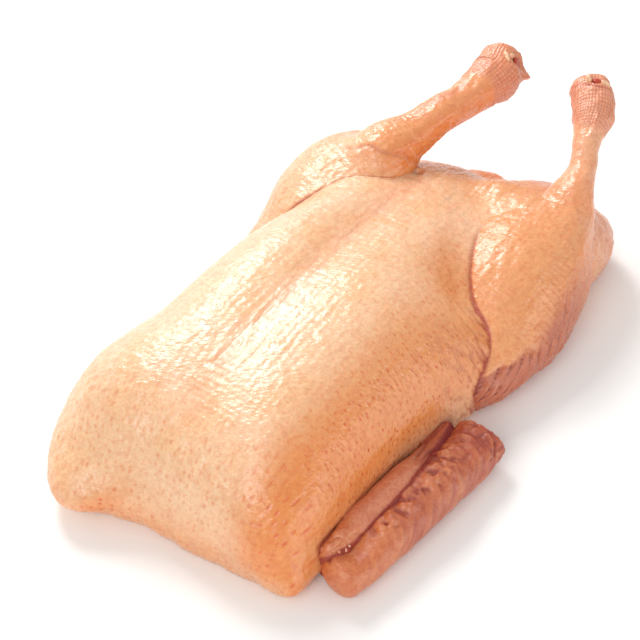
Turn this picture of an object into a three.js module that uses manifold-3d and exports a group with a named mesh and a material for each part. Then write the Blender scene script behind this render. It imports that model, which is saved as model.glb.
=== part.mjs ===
// A whole raw duck, plucked, lying on its back with the breast up and the feet cut off at the ankles.
// Millimetres. +X runs from the neck end to the tail, +Y to the far side, +Z up, and it rests on z = 0.
// Each part of the bird is a skin: rays leave a curved axis and stop at the rim of a soft mass
// of rounded lumps. The trunk, the two legs and the two folded wings are then joined into one solid.

import * as THREE from "three";
import Module from "manifold-3d";

// Trunk: a long flat-topped barrel, with its centre, half sizes, and how square it is in plan and upright
const BARREL = { at: [-42, -5.5, 20], half: [97.5, 76.5, 58.5], plan: 5, upright: 2.5, turn: [0, -2, -7] };

// Lumps that swell out of the barrel: centre, half sizes, turn in degrees and the width of the soft joint
const TRUNK_LUMPS = {
  farBreast: { at: [-7, 25.5, 47], half: [105, 30.5, 33.5], turn: [0, 0, -3], soft: 13 },
  nearBreast: { at: [-11, -27, 46], half: [92.5, 38, 34], turn: [0, 0, 5], soft: 13 },
  farShoulder: { at: [-99, 41, 30.5], half: [30.5, 26, 30], turn: [0, 0, 0], soft: 26 },
  farNeckCorner: { at: [-124, 48.5, 16.5], half: [38.5, 23.5, 13], turn: [0, 0, 5.5], soft: 26 },
  nearNeckCorner: { at: [-106, -58, 18], half: [29, 12.5, 20], turn: [0, 0, 9], soft: 20 },
  nearNeckTip: { at: [-119, -64.5, 9], half: [23, 10, 9], turn: [0, 0, 29], soft: 14 },
  neckSkirt: { at: [-116.5, -1.5, 11.5], half: [23.5, 44.5, 11], turn: [0, 0, 10], soft: 18 },
  pelvis: { at: [98, -12, 10], half: [76, 48, 24.5], turn: [0, 0, 0], soft: 20 },
  abdomen: { at: [84.5, -6, 34.5], half: [67.5, 52, 31], turn: [0, 0, -1.5], soft: 23 },
  farHaunch: { at: [119.5, 24, 16.5], half: [44, 38.5, 22], turn: [0, 0, 0], soft: 18.5 },
  nearHaunch: { at: [130, -62, 30], half: [40.5, 38.5, 31], turn: [0, 0, 0], soft: 14.5 },
  rumpCorner: { at: [150, -80.5, 18], half: [30.5, 23, 22], turn: [0, 0, 0], soft: 11 },
  tail: { at: [158, -9, 16.5], half: [28.5, 23, 14], turn: [0, 0, 0], soft: 13 },
};
const TRUNK_AXIS = [[-92, -5.5, 24], [-37, -7.5, 26], [37, -9, 26], [110.5, -11, 22]];
const TRUNK_GRID = { rows: 55, ring: 55, front: 64.5, rear: 64.5, reach: 156.5, crowd: 0.4 };

// Legs: the thigh's two lumps, then the drumstick as points on its axis with a radius at each,
// and how wide a band of trunk and thigh swells where they meet
const FAR_LEG = {
  thigh: { at: [90.5, 49.5, 37], half: [51, 34, 34], turn: [0, -8, -4.5] },
  flank: { at: [60.5, 57.5, 15], half: [55, 28.5, 24], turn: [0, 0, 0] },
  bone: [
    [64.5, 46, 26, 14.5], [87.5, 41.5, 46, 16], [108.5, 31, 66, 18], [129, 20.5, 74, 13],
    [145, 12.5, 80.5, 11.5], [160.5, 7.5, 81.5, 10.8], [176.5, 2.5, 85.5, 12.2],
    [188.5, 0.5, 86.5, 15], [198, 2, 90, 13],
  ],
  join: 12,
  grid: { rows: 42, ring: 26, front: 46, rear: 12, reach: 87.5, crowd: 0 },
};
const NEAR_LEG = {
  thigh: { at: [93.5, -71, 29], half: [49.5, 35, 35.5], turn: [0, -8, 1.5] },
  flank: { at: [71, -80, 17.5], half: [63.5, 31, 23], turn: [0, 0, -0.5] },
  bone: [
    [74.5, -75.5, 22.5, 14.5], [100, -80.5, 33.5, 18.5], [119, -80, 46, 18.5], [136.5, -78.5, 54, 13.2],
    [146, -77.5, 64, 10.4], [160.5, -74.5, 69.5, 8.1], [174.5, -69, 77.5, 8.5], [188, -65, 83.5, 11],
    [197.5, -60.5, 87.5, 12], [203, -56, 89, 11.6],
  ],
  join: 20,
  grid: { rows: 42, ring: 26, front: 48, rear: 12, reach: 87.5, crowd: 0 },
};
const THIGH_SOFT = 14;
const DRUMSTICK_SOFT = 8.5;
// The cut ankle is blunter than a ball: how far it bulges, as a share of its radius, and how square it is
const CUT_END = { bulge: 0.72, square: 3 };

// Wings, folded along the side: points on the axis with half width, height above and depth below
const WING_OUTER = [
  [-117.5, -92.5, 12.5, 12.5, 10, 13], [-99.5, -97.5, 13, 11.5, 10, 14], [-59, -101, 14.5, 14.5, 11.5, 14.5],
  [-23.5, -106, 12.5, 13.5, 12.5, 14.5], [-7, -106.5, 13, 14, 11.5, 12],
];
const WING_INNER = [
  [-112.5, -82.5, 10.5, 9, 13.5, 11], [-60, -92.5, 14.5, 9.5, 12, 12], [-22, -96.5, 10, 11.5, 10, 12],
];
const WING_OUTER_GRID = { rows: 15, ring: 18, start: 0.6, end: 0.25 };
const WING_INNER_GRID = { rows: 10, ring: 14, start: 0.6, end: 0.6 };
// The far wing mirrors the near one across this line, tucked so close that its inner part is out of sight
const WING_MIRROR_Y = -14.5;

const SKIN_COLOUR = "#eebb8e";

// A ray comes in by this share of the distance at each step, and stops when it is this close
const MARCH = { steps: 160, stride: 0.7, close: 0.005 };

const rad = THREE.MathUtils.degToRad;

// A world point seen in a lump's own turned frame
function inFrame(lump, point) {
  if (!lump.back) {
    const [x, y, z] = (lump.turn ?? [0, 0, 0]).map(rad);
    lump.back = new THREE.Matrix4().makeRotationFromEuler(new THREE.Euler(x, y, z, "ZYX")).transpose();
  }
  return point.clone().sub(new THREE.Vector3(...lump.at)).applyMatrix4(lump.back);
}

// About how far a point is outside an ellipsoid
function ellipsoid(lump, point) {
  const q = inFrame(lump, point);
  const [a, b, c] = lump.half;
  const k0 = Math.hypot(q.x / a, q.y / b, q.z / c);
  const k1 = Math.hypot(q.x / a ** 2, q.y / b ** 2, q.z / c ** 2) + 1e-9;
  return (k0 * (k0 - 1)) / k1;
}

// About how far a point is outside a barrel, square in plan and rounder upright
function barrel(shape, point) {
  const q = inFrame(shape, point);
  const [a, b, c] = shape.half;
  const { plan, upright } = shape;
  const flat = Math.abs(q.x / a) ** plan + Math.abs(q.y / b) ** plan;
  const k = (flat ** (upright / plan) + Math.abs(q.z / c) ** upright) ** (1 / upright);
  return (k - 1) * Math.min(a, b, c);
}

// The smaller of two distances, rounded over a band where the masses meet
function softMin(a, b, band) {
  const h = THREE.MathUtils.clamp(0.5 + (0.5 * (b - a)) / band, 0, 1);
  return b * (1 - h) + a * h - band * h * (1 - h);
}

// How much a skin swells where the rim of its neighbour is this near, at most a quarter of the band
function swell(distance, band) {
  return (band / 4) * Math.max(0, 1 - Math.abs(distance) / band) ** 2;
}

function trunkMass(point) {
  let d = barrel(BARREL, point);
  for (const lump of Object.values(TRUNK_LUMPS)) {
    d = softMin(d, ellipsoid(lump, point), lump.soft);
  }
  return d;
}

function thighMass(leg, point) {
  return softMin(ellipsoid(leg.thigh, point), ellipsoid(leg.flank, point), THIGH_SOFT);
}

// The trunk's skin rises towards both thighs
function trunkField(point) {
  const legs = [FAR_LEG, NEAR_LEG];
  return legs.reduce((d, leg) => d - swell(thighMass(leg, point), leg.join), trunkMass(point));
}

// A thigh joined to a drumstick whose radius changes along the bone and which ends blunt at the ankle
function legField(leg) {
  return (point, out, radius, tilt) => {
    const { bulge, square } = CUT_END;
    const rim = Math.abs(Math.cos(tilt)) ** square + Math.abs(Math.sin(tilt) / bulge) ** square;
    const drumstick = out - radius / rim ** (1 / square);
    return softMin(thighMass(leg, point), drumstick, DRUMSTICK_SOFT) - swell(trunkMass(point), leg.join);
  };
}

// A smooth run through stations of any width, with its ends mirrored
function smoothRun(stations, count) {
  const last = stations.length - 1;
  const run = [];
  for (let i = 0; i < count; i++) {
    const t = (i / (count - 1)) * last;
    const k = Math.min(Math.floor(t), last - 1);
    const f = t - k;
    const [p1, p2] = [stations[k], stations[k + 1]];
    const p0 = stations[k - 1] ?? p1.map((v, j) => 2 * v - p2[j]);
    const p3 = stations[k + 2] ?? p2.map((v, j) => 2 * v - p1[j]);
    run.push(p1.map((v, j) => {
      const v0 = (p2[j] - p0[j]) / 2;
      const v1 = (p3[j] - p1[j]) / 2;
      const cubic = (2 * v - 2 * p2[j] + v0 + v1) * f ** 3;
      return cubic + (-3 * v + 3 * p2[j] - 2 * v0 - v1) * f ** 2 + v0 * f + v;
    }));
  }
  return run;
}

// Side and up directions square to the run at each of its points
function frames(run) {
  return run.map((station, i) => {
    const ahead = new THREE.Vector3(...run[Math.min(i + 1, run.length - 1)]);
    const along = ahead.sub(new THREE.Vector3(...run[Math.max(i - 1, 0)])).normalize();
    const side = new THREE.Vector3(0, 0, 1).cross(along).normalize();
    const up = along.clone().cross(side);
    return { at: new THREE.Vector3(...station), along, side, up, size: station.slice(3) };
  });
}

// A grid of rings closed by one point at each end, as a solid with its faces out
function closedGrid(rings, wasm) {
  const ring = rings[0].length;
  const points = rings.flat();
  const first = points.length;
  const middle = (list) => list.reduce((s, p) => s.add(p), new THREE.Vector3()).divideScalar(list.length);
  points.push(middle(rings[0]), middle(rings[rings.length - 1]));
  const faces = [];
  for (let i = 0; i < rings.length - 1; i++) {
    for (let j = 0; j < ring; j++) {
      const a = i * ring + j;
      const b = i * ring + ((j + 1) % ring);
      faces.push([a, b, b + ring], [a, b + ring, a + ring]);
    }
  }
  for (let j = 0; j < ring; j++) {
    const k = (j + 1) % ring;
    const end = (rings.length - 1) * ring;
    faces.push([first, k, j], [first + 1, end + j, end + k]);
  }
  let volume = 0;
  for (const [a, b, c] of faces) {
    volume += points[a].dot(points[b].clone().cross(points[c])) / 6;
  }
  const outward = volume > 0 ? faces : faces.map(([a, b, c]) => [a, c, b]);
  return new wasm.Manifold(new wasm.Mesh({
    numProp: 3,
    vertProperties: new Float32Array(points.flatMap((p) => [p.x, p.y, p.z])),
    triVerts: new Uint32Array(outward.flat()),
  }));
}

// Rays leave a curved axis square to it and fan out round both ends, and stop at the field's rim.
// What would sink below the surface that the bird lies on is pressed flat against it.
function skin(field, stations, grid, wasm) {
  const axis = frames(smoothRun(stations, 200));
  const reached = [0];
  for (let i = 1; i < axis.length; i++) {
    reached.push(reached[i - 1] + axis[i].at.distanceTo(axis[i - 1].at));
  }
  const length = reached[reached.length - 1];
  const before = (grid.front * Math.PI) / 2;
  const whole = before + length + (grid.rear * Math.PI) / 2;
  const rings = [];
  for (let i = 0; i < grid.rows; i++) {
    const s = ((i + 0.5) / grid.rows) * whole - before;
    const tilt = s < 0 ? s / grid.front : Math.max(s - length, 0) / grid.rear;
    const on = THREE.MathUtils.clamp(s, 0, length);
    const k = Math.max(1, reached.findIndex((v) => v >= on - 1e-9));
    const f = (on - reached[k - 1]) / (reached[k] - reached[k - 1]);
    const mix = (name) => axis[k - 1][name].clone().lerp(axis[k][name], f);
    const [at, along, side, up] = [mix("at"), mix("along"), mix("side"), mix("up")];
    const radius = axis[k].size.length ? axis[k - 1].size[0] * (1 - f) + axis[k].size[0] * f : 0;
    const row = [];
    for (let j = 0; j < grid.ring; j++) {
      const v = (j / grid.ring) * 2 * Math.PI - Math.PI;
      const angle = v - grid.crowd * Math.sin(v);
      const ray = side.clone().multiplyScalar(Math.sin(angle)).addScaledVector(up, Math.cos(angle));
      ray.multiplyScalar(Math.cos(tilt)).addScaledVector(along, Math.sin(tilt)).normalize();
      let out = grid.reach;
      for (let step = 0; step < MARCH.steps; step++) {
        const d = field(at.clone().addScaledVector(ray, out), out, radius, tilt);
        if (d < MARCH.close) break;
        out -= MARCH.stride * d;
      }
      const rim = at.clone().addScaledVector(ray, out);
      rim.z = Math.max(rim.z, 0);
      row.push(rim);
    }
    rings.push(row);
  }
  return closedGrid(rings, wasm);
}

// An oval tube along its stations, with rounded ends, kept off the ground plane
function ovalTube(stations, grid, wasm, mirrorY) {
  const axis = frames(smoothRun(stations, grid.rows));
  const capped = [];
  const round = 3;
  const ends = [[axis[0], -grid.start], [axis[axis.length - 1], grid.end]];
  const cap = ([station, share]) => Array.from({ length: round }, (_, i) => {
    const angle = (((i + 1) / (round + 0.5)) * Math.PI) / 2;
    const reach = Math.sin(angle) * share * Math.max(...station.size);
    const size = station.size.map((v) => v * Math.cos(angle));
    return { ...station, at: station.at.clone().addScaledVector(station.along, reach), size };
  });
  capped.push(...cap(ends[0]).reverse(), ...axis, ...cap(ends[1]));
  const rings = capped.map((station) => Array.from({ length: grid.ring }, (_, j) => {
    const angle = (j / grid.ring) * 2 * Math.PI;
    const [half, above, below] = station.size;
    const p = station.at.clone().addScaledVector(station.side, half * Math.cos(angle));
    p.addScaledVector(station.up, Math.sin(angle) * (Math.sin(angle) > 0 ? above : below));
    p.z = Math.max(p.z, 0);
    if (mirrorY !== undefined) p.y = 2 * mirrorY - p.y;
    return p;
  }));
  return closedGrid(rings, wasm);
}

const wasm = await Module();
wasm.setup();

const solids = [
  skin(trunkField, TRUNK_AXIS, TRUNK_GRID, wasm),
  skin(legField(FAR_LEG), FAR_LEG.bone, FAR_LEG.grid, wasm),
  skin(legField(NEAR_LEG), NEAR_LEG.bone, NEAR_LEG.grid, wasm),
  ovalTube(WING_OUTER, WING_OUTER_GRID, wasm),
  ovalTube(WING_INNER, WING_INNER_GRID, wasm),
  ovalTube(WING_OUTER, WING_OUTER_GRID, wasm, WING_MIRROR_Y),
];
const whole = solids.reduce((sum, solid) => sum.add(solid));
const mesh = whole.getMesh();

const geometry = new THREE.BufferGeometry();
geometry.setAttribute("position", new THREE.BufferAttribute(mesh.vertProperties, 3));
geometry.setIndex(new THREE.BufferAttribute(mesh.triVerts, 1));

// The origin goes under the middle of the bird, on the surface that it lies on
geometry.computeBoundingBox();
const middle = geometry.boundingBox.getCenter(new THREE.Vector3());
geometry.translate(-middle.x, -middle.y, -geometry.boundingBox.min.z);

const skinMaterial = new THREE.MeshStandardMaterial({ color: SKIN_COLOUR, roughness: 0.4, metalness: 0 });
const duck = new THREE.Mesh(geometry, skinMaterial);
duck.name = "duck";

const bird = new THREE.Group();
bird.add(duck);

export default bird;
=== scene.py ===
from collections import namedtuple
from itertools import product

import bpy
import numpy as np
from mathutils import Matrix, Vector


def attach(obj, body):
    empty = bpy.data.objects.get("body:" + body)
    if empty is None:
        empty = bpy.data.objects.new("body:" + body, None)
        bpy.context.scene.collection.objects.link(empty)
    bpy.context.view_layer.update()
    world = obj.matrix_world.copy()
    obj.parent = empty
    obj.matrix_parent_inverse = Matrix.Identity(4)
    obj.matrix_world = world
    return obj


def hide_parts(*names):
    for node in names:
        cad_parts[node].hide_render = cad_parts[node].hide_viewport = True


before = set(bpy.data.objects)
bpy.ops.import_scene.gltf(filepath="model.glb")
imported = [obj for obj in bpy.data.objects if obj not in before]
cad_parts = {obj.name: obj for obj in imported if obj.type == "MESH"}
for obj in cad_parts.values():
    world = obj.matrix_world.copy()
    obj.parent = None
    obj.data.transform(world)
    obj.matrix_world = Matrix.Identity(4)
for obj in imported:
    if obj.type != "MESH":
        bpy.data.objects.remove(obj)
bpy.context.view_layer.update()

bl_info = {
    "name": "Whole raw duck",
    "version": (1, 0, 0),
    "blender": (4, 5, 0),
    "location": "View3D > Sidebar > Duck",
    "description": "Builds a plucked raw duck lying on its back, with its skin, legs and wings",
    "category": "Add Mesh",
}

MM = 0.001
BODY = "root"
SOLID = "duck"

# The bird is drawn in millimetres, +X from neck to tail, and this point is under the middle of its box
UNDER_MIDDLE = (25.32, -14.5, 0.0)

# A lump has a centre, half sizes, a turn in degrees about X, Y and Z, and the width of its soft joint
Lump = namedtuple("Lump", "at half turn soft", defaults=(0,))
# The barrel's powers say how square it is in plan and upright
Barrel = namedtuple("Barrel", "at half turn plan upright")
# How rays leave an axis: the radius of the fan at each end, how far out they start, how much they crowd
Fans = namedtuple("Fans", "front rear reach crowd")
# A thigh's two lumps, points and radii along the drumstick, the band that swells at the trunk, and the fans
Leg = namedtuple("Leg", "thigh flank bone join fans")
# A fold's depth, half width and line; a ridge has a depth below 0
Fold = namedtuple("Fold", "deep wide line")
# A pull on a skin: where, which way and how far, and over what half width
Pull = namedtuple("Pull", "at by wide")

# Trunk: a long flat-topped barrel, square in plan, with soft lumps swelling out of it
BARREL = Barrel((-42, -5.5, 20), (97.5, 76.5, 58.5), (0, -2, -7), plan=5, upright=2.5)
TRUNK_LUMPS = {
    "far breast": Lump((-7, 25.5, 47), (105, 30.5, 33.5), (0, 0, -3), 13),
    "near breast": Lump((-11, -27, 46), (92.5, 38, 34), (0, 0, 5), 13),
    "far shoulder": Lump((-99, 41, 30.5), (30.5, 26, 30), (0, 0, 0), 26),
    "far neck corner": Lump((-124, 48.5, 16.5), (38.5, 23.5, 13), (0, 0, 5.5), 26),
    "near neck corner": Lump((-106, -58, 18), (29, 12.5, 20), (0, 0, 9), 20),
    "near neck tip": Lump((-119, -64.5, 9), (23, 10, 9), (0, 0, 29), 14),
    "neck skirt": Lump((-116.5, -1.5, 11.5), (23.5, 44.5, 11), (0, 0, 10), 18),
    "pelvis": Lump((98, -12, 10), (76, 48, 24.5), (0, 0, 0), 20),
    "abdomen": Lump((84.5, -6, 34.5), (67.5, 52, 31), (0, 0, -1.5), 23),
    "far haunch": Lump((119.5, 24, 16.5), (44, 38.5, 22), (0, 0, 0), 18.5),
    "near haunch": Lump((130, -62, 30), (40.5, 38.5, 31), (0, 0, 0), 14.5),
    "rump corner": Lump((150, -80.5, 18), (30.5, 23, 22), (0, 0, 0), 11),
    "tail": Lump((158, -9, 16.5), (28.5, 23, 14), (0, 0, 0), 13),
}
TRUNK_AXIS = ((-92, -5.5, 24), (-37, -7.5, 26), (37, -9, 26), (110.5, -11, 22))
TRUNK_FANS = Fans(front=64.5, rear=64.5, reach=156.5, crowd=0.4)

FAR_LEG = Leg(
    thigh=Lump((90.5, 49.5, 37), (51, 34, 34), (0, -8, -4.5)),
    flank=Lump((60.5, 57.5, 15), (55, 28.5, 24), (0, 0, 0)),
    bone=(
        (64.5, 46, 26, 14.5), (87.5, 41.5, 46, 16), (108.5, 31, 66, 18), (129, 20.5, 74, 13),
        (145, 12.5, 80.5, 11.5), (160.5, 7.5, 81.5, 10.8), (176.5, 2.5, 85.5, 12.2),
        (188.5, 0.5, 86.5, 15), (198, 2, 90, 13),
    ),
    join=12,
    fans=Fans(front=46, rear=12, reach=87.5, crowd=0),
)
NEAR_LEG = Leg(
    thigh=Lump((93.5, -71, 29), (49.5, 35, 35.5), (0, -8, 1.5)),
    flank=Lump((71, -80, 17.5), (63.5, 31, 23), (0, 0, -0.5)),
    bone=(
        (74.5, -75.5, 22.5, 14.5), (100, -80.5, 33.5, 18.5), (119, -80, 46, 18.5), (136.5, -78.5, 54, 13.2),
        (146, -77.5, 64, 10.4), (160.5, -74.5, 69.5, 8.1), (174.5, -69, 77.5, 8.5), (188, -65, 83.5, 11),
        (197.5, -60.5, 87.5, 12), (203, -56, 89, 11.6),
    ),
    join=20,
    fans=Fans(front=48, rear=12, reach=87.5, crowd=0),
)
THIGH_SOFT = 14
DRUMSTICK_SOFT = 8.5
# The cut's bulge as a share of the radius, and the power that makes its end blunt
CUT_BULGE = 0.72
CUT_SQUARE = 3
# Where the shank and the scales begin and are full, in mm along the axis from its last point
SHANK = (-85, -45)
SCALES = (-30, -24)
SCALE_STEP = 2
SCALES_ROUND = 20
# The step between folds on the near thigh's raw underside, and how deep a cut end is sunk
UNDER_FOLD_STEP = 5.2
CUT_SINK = 2.2

# Wings folded along the side: points on the axis with half width, height above and depth below
WING_OUTER = (
    (-117.5, -92.5, 12.5, 12.5, 10, 13), (-99.5, -97.5, 13, 11.5, 10, 14),
    (-59, -101, 14.5, 14.5, 11.5, 14.5), (-23.5, -106, 12.5, 13.5, 12.5, 14.5),
    (-7, -106.5, 13, 14, 11.5, 12),
)
WING_INNER = (
    (-112.5, -82.5, 10.5, 9, 13.5, 11), (-60, -92.5, 14.5, 9.5, 12, 12), (-22, -96.5, 10, 11.5, 10, 12),
)
WING_ROUNDS = 40
# The far wing is a mirror image about this plane, with this share of each height
WING_MIRROR_Y = -14.5
FAR_WING_HEIGHT = 0.92

TRUNK_FOLDS = (
    Fold(0.7, 1.4, ((18.6, -80.6, 53.7), (17.5, -86, 46), (14.8, -89, 38), (5, -90, 32))),
    Fold(0.5, 1.4, ((4.8, -79.3, 57.3), (3, -85, 48.7), (-1.3, -88.4, 40.6))),
    Fold(0.8, 1.4, ((32, -76, 56), (30, -84, 47), (24, -89, 36))),
    Fold(0.5, 1.8, ((101.9, 10.7, 63.8), (104, 2, 64), (102.8, -6, 63.5), (96, -14, 64))),
)
FAR_LEG_FOLDS = (
    Fold(0.8, 1.6, ((93.3, 50.7, 72.6), (93.6, 39.2, 77.2), (96.6, 31.9, 80.6), (97.8, 22.6, 79),
                    (105.5, 13.8, 75.4), (115.3, 10.3, 65.4))),
    Fold(-0.9, 1.3, ((117.6, 10.3, 65.4), (126.5, 9.4, 67.4), (133.6, 6.8, 70.9), (141, 3.5, 74))),
    Fold(0.6, 3.5, ((122, 28, 86), (135, 20, 90), (152, 11, 92), (168, 8, 94))),
)
NEAR_LEG_FOLDS = (
    Fold(1.2, 1, ((121.8, -69.8, 64.8), (117.9, -71.5, 65.2))),
    Fold(1, 1.4, ((122, -60, 62), (118.1, -63, 62.5), (110.4, -67.8, 64.4))),
    Fold(2.4, 1.3, ((67.5, -101.4, 35.3), (59.4, -104, 28.3), (46.6, -104.7, 22.9), (36.7, -103.8, 18.4))),
    Fold(2.4, 1.2, ((58.8, -98.7, 33.9), (47.6, -100.7, 27.5), (35.4, -100.9, 22.5))),
    Fold(2, 1.2, ((46.1, -98.3, 28.9), (35.9, -98.5, 25.2), (27.6, -98.9, 19.1))),
    Fold(2, 1.3, ((75.6, -103.9, 35.5), (65.9, -106.2, 27.6), (53.7, -107.4, 21.2))),
    Fold(-1, 1.3, ((187, -67.2, 95), (178.3, -70.7, 89.1), (171, -71.6, 84.8))),
    Fold(1.1, 1, ((195.8, -47.7, 92.9), (196.3, -55.7, 99.2), (198, -62.4, 99.6), (202, -68.3, 95.5))),
)
# Where the near thigh's pale skin ends above its red underside: places along the bird and heights
PALE_EDGE = ((35.9, 45.7, 54, 67.5, 81.4, 100, 120), (30.4, 30.8, 30.7, 35.3, 40.2, 44, 46))
# How softly it ends: places along the bird, and the height of the blend there
PALE_EDGE_SOFT = ((36, 50, 105), (1.5, 8, 20))

TRUNK_PULLS = (
    Pull((114, 8, 61), (0, 0, -3.5), 3),
    Pull((-118, -79, 12), (0, -3, 0), 6),
    Pull((-152, 33, 14), (-1.6, 0, 1), 6),
    Pull((172, -8, 29), (-2, 0, -4.5), 15),
    Pull((130, -34, 56), (1, 0, 5.5), 13),
)
FAR_LEG_PULLS = (
    Pull((200, -12, 88), (2.5, -5.5, -3), 3.4),
    Pull((199, -9, 97), (-3.5, 3, -3.5), 3.6),
)
NEAR_LEG_PULLS = (
    Pull((190, -74, 86), (1, -2.2, -1.5), 5),
    Pull((203, -58, 101), (-1.5, 0.5, -3), 4),
)
INNER_PULLS = (
    Pull((-18, -92, 18), (7, 4, 4), 11),
    Pull((-30, -87, 18), (0, 3, 0), 9),
    Pull((-43, -86, 22), (0, 2.5, 1), 11),
    Pull((-56, -85, 24), (0, 2, 1), 11),
    Pull((-72, -83, 22), (0, 2, 1), 11),
    Pull((-88, -80, 20), (0, 2, 1), 11),
)
OUTER_PULLS = (
    Pull((-14, -98, 24), (0, 1.5, 0.5), 8),
    Pull((-4, -107, 24), (-0.5, 0, -1.2), 4),
    Pull((2, -113, 18), (2, -2, 0.5), 6),
    Pull((-30, -105, 27), (0, 0, -2), 8),
    Pull((-48, -110, 24), (0, 0, 1), 14),
    Pull((-108, -92, 24), (0, 2, -4), 9),
)

# Bone ends and torn scraps
SCRAPS = {
    "gristle": (
        Lump((193, -3.6, 100.6), (4.2, 1.4, 1.6), (0, -10, 50)),
        Lump((197.5, -4, 99), (3.4, 2.6, 1.9), (0, 15, 20)),
        Lump((205.4, 4.6, 95.2), (1.9, 3.8, 2.6), (20, -18, 9)),
        Lump((200.8, -53.8, 99.5), (2.6, 1.9, 2.8), (0, 20, 30)),
        Lump((204.2, -63.2, 97.4), (2, 3.4, 2), (28, 0, 10)),
        Lump((208, -52, 91.6), (1.8, 3.4, 2.4), (0, -12, 39)),
        Lump((-114.9, -88.6, 24), (0.8, 0.35, 0.3), (0, 30, 50)),
        Lump((-112.3, -90.8, 24.7), (1.1, 0.4, 0.3), (20, 0, 35)),
        Lump((-109.6, -91, 24.9), (0.6, 0.4, 0.3), (0, -20, 70)),
    ),
    "meat": (
        Lump((197.4, -8.4, 94.9), (3.8, 1.5, 2.8), (-25, 0, 20)),
        Lump((204, 2.4, 92.6), (2, 6.6, 6), (0, -20, 9)),
        Lump((203, -58.8, 98), (2.6, 3.4, 1.7), (12, 15, 30)),
        Lump((206.6, -53.4, 90.6), (2, 5.6, 5.2), (0, -12, 39)),
    ),
}
SCRAP_ROWS, SCRAP_RING = 28, 36

# How finely curves are read: points on a skin's axis, and on a fold's line or a tube's run
AXIS_POINTS = 200
LINE_POINTS = 60
# A ray takes this share of the distance left, at most this often, until it is this close
RAY_SHARE = 0.7
RAY_STEPS = 160
RAY_CLOSE = 0.004

# What each point of a skin carries: masks of tones, of shade painted in creases and of relief, and its place
# in metres for the pits
MASKS = ("cream", "warm", "pink", "raw", "crease", "pitted", "front", "keel", "fine")
FLOWS = ("flow", "flow_front")

# The photograph's view: angles in degrees, distance and target in mm of the drawing, then the lens
AZIMUTH, ELEVATION, DISTANCE = -56.0, 45.0, 765.4
TARGET = (0.0, 0.0, 36.8)
LENS, SENSOR = 78.75, 36.0

# The studio's lights: name, place, width and height in metres, and radiance; they face one point
SOFTBOXES = (
    ("back_softbox", (0.4, 0.88, 1.13), (0.42, 0.5), 15.5),
    ("rear_softbox", (0.7, 0.92, 0.94), (0.45, 0.45), 9.0),
    ("front_softbox", (-1.05, -0.2, 0.95), (0.8, 0.8), 3.1),
    ("side_softbox", (0.0, -1.35, 0.3), (1.2, 0.5), 1.8),
    ("far_softbox", (0.25, 1.3, 0.45), (0.9, 0.4), 2.0),
)
LIT_POINT = (-0.02, 0.0, 0.04)
WORLD_STRENGTH = 0.57
FLOOR_HALF = 6
FLOOR_DROP = 0.0003


def vectors(a, b, c=0.0):
    """Three arrays or numbers as the parts of one array of vectors."""
    return np.stack(np.broadcast_arrays(a, b, c), -1)


def turned(lump):
    """The lump's own axes as the columns of a matrix, after turns about X, then Y, then Z."""
    axes = np.eye(3)
    for k, angle in enumerate(np.radians(lump.turn)):
        i, j = (k + 1) % 3, (k + 2) % 3
        about = np.eye(3)
        about[i, i] = about[j, j] = np.cos(angle)
        about[j, i], about[i, j] = np.sin(angle), -np.sin(angle)
        axes = about @ axes
    return axes


def inward(lump, p):
    """A point in the lump's own frame."""
    return (p - lump.at) @ turned(lump)


def ellipsoid(lump, p):
    """About the distance outside an ellipsoid: k0 (k0 - 1) / k1, where k0 is the length of the point over
    the half sizes and k1 its length over their squares."""
    q = inward(lump, p)
    k0 = np.linalg.norm(q / lump.half, axis=-1)
    k1 = np.linalg.norm(q / np.square(lump.half), axis=-1) + 1e-9
    return k0 * (k0 - 1) / k1


def barrel(shape, p):
    """About the distance outside a barrel, a superellipse of one power in plan and of another upright."""
    q = np.abs(inward(shape, p)) / shape.half
    flat = (q[..., 0] ** shape.plan + q[..., 1] ** shape.plan) ** (shape.upright / shape.plan)
    return ((flat + q[..., 2] ** shape.upright) ** (1 / shape.upright) - 1) * min(shape.half)


def soft_min(a, b, band):
    """The smaller of two distances, rounded by a parabola where they differ by less than the band."""
    h = np.clip(0.5 + 0.5 * (b - a) / band, 0, 1)
    return b * (1 - h) + a * h - band * h * (1 - h)


def swell(distance, band):
    """How much a skin swells at a distance from its neighbour: a quarter of the band at the rim, and nothing
    a band away."""
    return band / 4 * np.maximum(0, 1 - np.abs(distance) / band) ** 2


def trunk_mass(p):
    """The barrel joined softly to every lump in turn."""
    d = barrel(BARREL, p)
    for lump in TRUNK_LUMPS.values():
        d = soft_min(d, ellipsoid(lump, p), lump.soft)
    return d


def thigh_mass(leg, p):
    """The thigh's two lumps joined softly."""
    return soft_min(ellipsoid(leg.thigh, p), ellipsoid(leg.flank, p), THIGH_SOFT)


def trunk_field(p, out=None, radius=None, tilt=None):
    """The trunk's mass, swollen towards both thighs. It makes no use of where the ray is."""
    return trunk_mass(p) - sum(swell(thigh_mass(leg, p), leg.join) for leg in (FAR_LEG, NEAR_LEG))


def leg_field(leg):
    """The thigh joined softly to a drumstick of changing radius that ends in a blunt cut, all swollen
    towards the trunk."""
    def field(p, out, radius, tilt):
        rim = np.abs(np.cos(tilt)) ** CUT_SQUARE + np.abs(np.sin(tilt) / CUT_BULGE) ** CUT_SQUARE
        whole = soft_min(thigh_mass(leg, p), out - radius / rim ** (1 / CUT_SQUARE), DRUMSTICK_SOFT)
        return whole - swell(trunk_mass(p), leg.join)
    return field


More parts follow.
